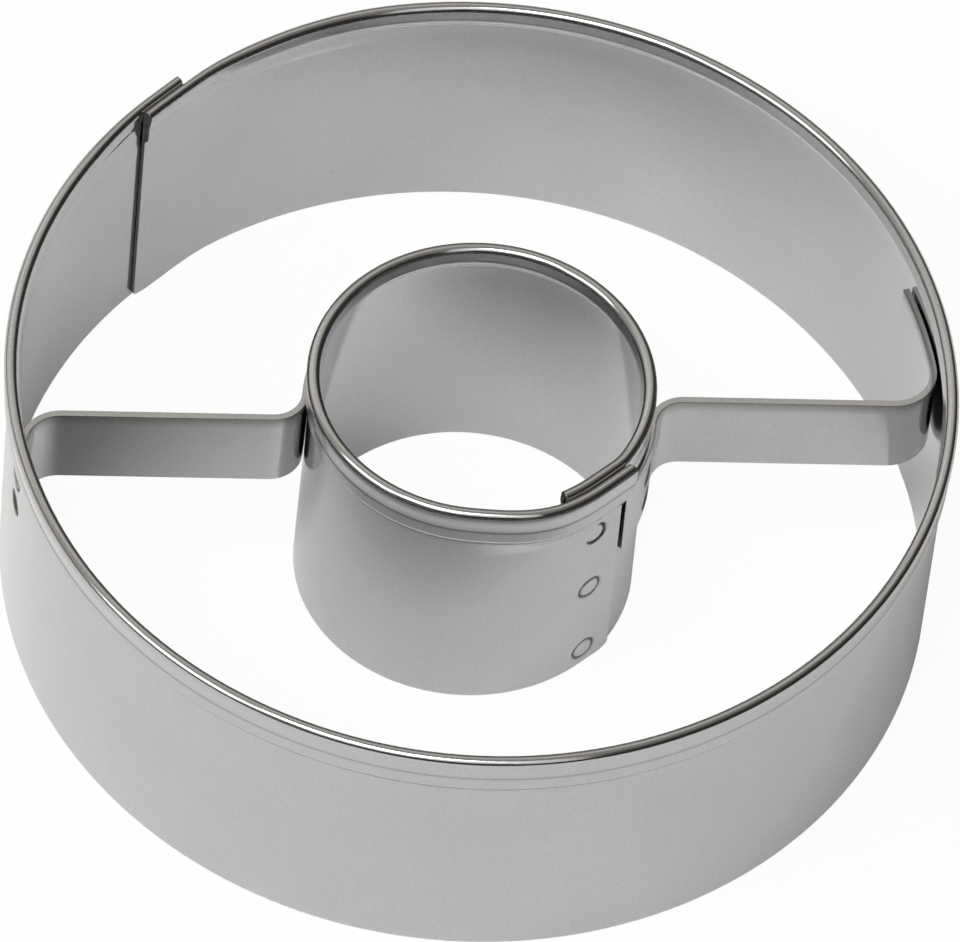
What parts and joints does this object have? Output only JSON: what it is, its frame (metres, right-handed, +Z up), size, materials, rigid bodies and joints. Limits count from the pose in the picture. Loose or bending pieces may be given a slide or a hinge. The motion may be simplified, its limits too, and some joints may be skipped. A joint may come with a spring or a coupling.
{
  "type": "doughnut cutter",
  "caption": "Doughnut cutter: a hemmed sheet-steel ring that cuts the outside, a smaller ring inside it that cuts the hole, and Z-bent bridge straps that hold them together.",
  "frame": {"origin": "on the rings' common axis, in the plane of the two cutting edges that the cutter rests on", "axes": "+Z up along the rings' axis from the cutting edges to the hemmed rims, +X along the bridge straps, -Y the front in the picture"},
  "size_m": [0.081, 0.081, 0.0263],
  "materials": {
    "ring_steel": "satin rolled stainless sheet with fine grain along the strip",
    "strap_steel": "satin rolled stainless sheet, slightly duller than the rings"
  },
  "bodies": {
    "root": {"outer_ring": "ring_steel", "inner_ring": "ring_steel", "right_bridge_strap": "strap_steel", "left_bridge_strap": "strap_steel"}
  },
  "joints": []
}
